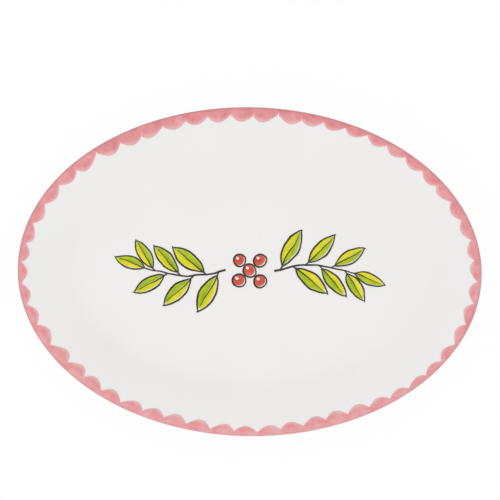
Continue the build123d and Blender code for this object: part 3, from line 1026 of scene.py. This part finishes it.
# Each berry has a ring that overshoots its start.
turns = [RING_TURN[0] + RING_TURN[1] * i / RING_STEPS for i in range(RING_STEPS + 1)]
ring_sizes = [BERRY / 2 * MM * (RING + RING_GROWTH * i / RING_STEPS) for i in range(RING_STEPS + 1)]
ring = [(size * math.cos(turn), size * math.sin(turn)) for size, turn in zip(ring_sizes, turns)]
berry_rings = make_piece(
    "berry_pen_rings",
    thin_sheet("berry_rings", [pen_line(ring, PEN_LINE * MM, swell)], PEN * MM),
    berry_tree,
    berry_sizes | {"Finish": pen_ink},
)
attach(berry_rings, "root")
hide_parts("line_ink")

# The two stems are one line each, heavy at the berries and light at the tip.
stems = []
for half_turn in (1, -1):
    line = []
    for i in range(STEM_LINE_STEPS + 1):
        share = STEM_OVERSHOOT * i / STEM_LINE_STEPS
        x = STEM[0] + (STEM[1] - STEM[0]) * share
        line.append((half_turn * x * MM, half_turn * STEM_SAG * 4 * share * (1 - share) * MM))
    stems.append(
        pen_line(line, PEN_LINE * STEM_PEN * MM, lambda share: STEM_PRESS[0] - STEM_PRESS[1] * share)
    )
stem_lines = make_piece(
    "stem_pen_lines",
    thin_sheet("stems", stems, STEM_FILM * PEN * MM),
    hand_tree,
    hand_sizes | {"Finish": pen_ink},
)
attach(stem_lines, "root")
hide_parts("line_ink")

# Table
# A plain white top that the plate stands on, with a soft shadow under the rim. It isn't part of the plate.
TABLE_HALF = 3.0
OWN_WHITE = 0.9
table_corners = [(x * TABLE_HALF, y * TABLE_HALF, 0) for x, y in ((-1, -1), (1, -1), (1, 1), (-1, 1))]
table_mesh = bpy.data.meshes.new("table")
table_mesh.from_pydata(table_corners, [], [(0, 1, 2, 3)])
table = bpy.data.objects.new("table", table_mesh)
bpy.context.scene.collection.objects.link(table)

# White table top: matt paper white that the camera sees as almost its own white, with a tenth of the shading.
paper, tree, shader = new_finish("white_table_top")
shader.inputs["Base Color"].default_value = linear("ffffff")
shader.inputs["Roughness"].default_value = 0.9
shader.inputs["Specular IOR Level"].default_value = 0.0
rays = add_node(tree, "ShaderNodeLightPath").outputs
seen = add_node(
    tree, "ShaderNodeMath", {0: rays["Is Camera Ray"], 1: rays["Is Glossy Ray"]}, operation="MAXIMUM"
)
glow = add_node(tree, "ShaderNodeEmission", {"Strength": 1.0})
lit_share = add_node(tree, "ShaderNodeMath", {0: seen, 1: OWN_WHITE}, operation="MULTIPLY")
both = add_node(tree, "ShaderNodeMixShader", {0: lit_share, 1: shader, 2: glow})
tree.links.new(both.outputs["Shader"], tree.nodes["Material Output"].inputs["Surface"])
table_mesh.materials.append(paper)

# Light
# Plain soft studio light: an even white surround and one large soft lamp in front, above and to the left.
SURROUND = (0.78, 1.01)
LAMP_TILT = 41.9
LAMP_TURN = -30.5
world = bpy.data.worlds.new("studio")
bpy.context.scene.world = world
world.use_nodes = True
tree = world.node_tree
rays = add_node(tree, "ShaderNodeLightPath").outputs
seen = rays["Is Camera Ray"]
for ray in ("Is Glossy Ray", "Is Transmission Ray"):
    seen = add_node(tree, "ShaderNodeMath", {0: seen, 1: rays[ray]}, operation="MAXIMUM")
way = add_node(tree, "ShaderNodeTexCoord").outputs["Generated"]
rise = add_node(tree, "ShaderNodeSeparateXYZ", {"Vector": way}).outputs["Z"]
overhead = add_node(tree, "ShaderNodeMapRange", {"Value": rise, "To Min": SURROUND[0], "To Max": SURROUND[1]})
strength = add_node(tree, "ShaderNodeMix", {"Factor": seen, "A": overhead, "B": 1.0}, data_type="FLOAT")
surround = tree.nodes["Background"]
surround.inputs["Color"].default_value = (1, 1, 1, 1)
tree.links.new(strength.outputs["Result"], surround.inputs["Strength"])
lamp_data = bpy.data.lights.new("soft_lamp", "AREA")
lamp_data.shape = "SQUARE"
lamp_data.size = 1.0
lamp_data.energy = 2.3
lamp = bpy.data.objects.new("soft_lamp", lamp_data)
lamp.visible_glossy = False
lamp.location = (-0.5, -0.85, 1.1)
lamp.rotation_euler = (math.radians(LAMP_TILT), 0, math.radians(LAMP_TURN))
bpy.context.scene.collection.objects.link(lamp)

# Camera
# Almost straight above the plate, a little to its front, with a long lens.
ELEVATION = 79.696
DISTANCE = 905.9
AIM = (-0.071, 13.725, 23.75)
ROLL = 1.019
camera_data = bpy.data.cameras.new("camera")
camera_data.lens = 85.0
camera_data.sensor_width = 36.0
camera = bpy.data.objects.new("camera", camera_data)
lift = math.radians(ELEVATION)
camera.location = (
    AIM[0] * MM,
    (AIM[1] - DISTANCE * math.cos(lift)) * MM,
    (AIM[2] + DISTANCE * math.sin(lift)) * MM,
)
camera.rotation_mode = "ZYX"
camera.rotation_euler = (math.radians(90 - ELEVATION), 0, math.radians(ROLL))
bpy.context.scene.collection.objects.link(camera)
bpy.context.scene.camera = camera
bpy.context.scene.view_settings.view_transform = "Standard"
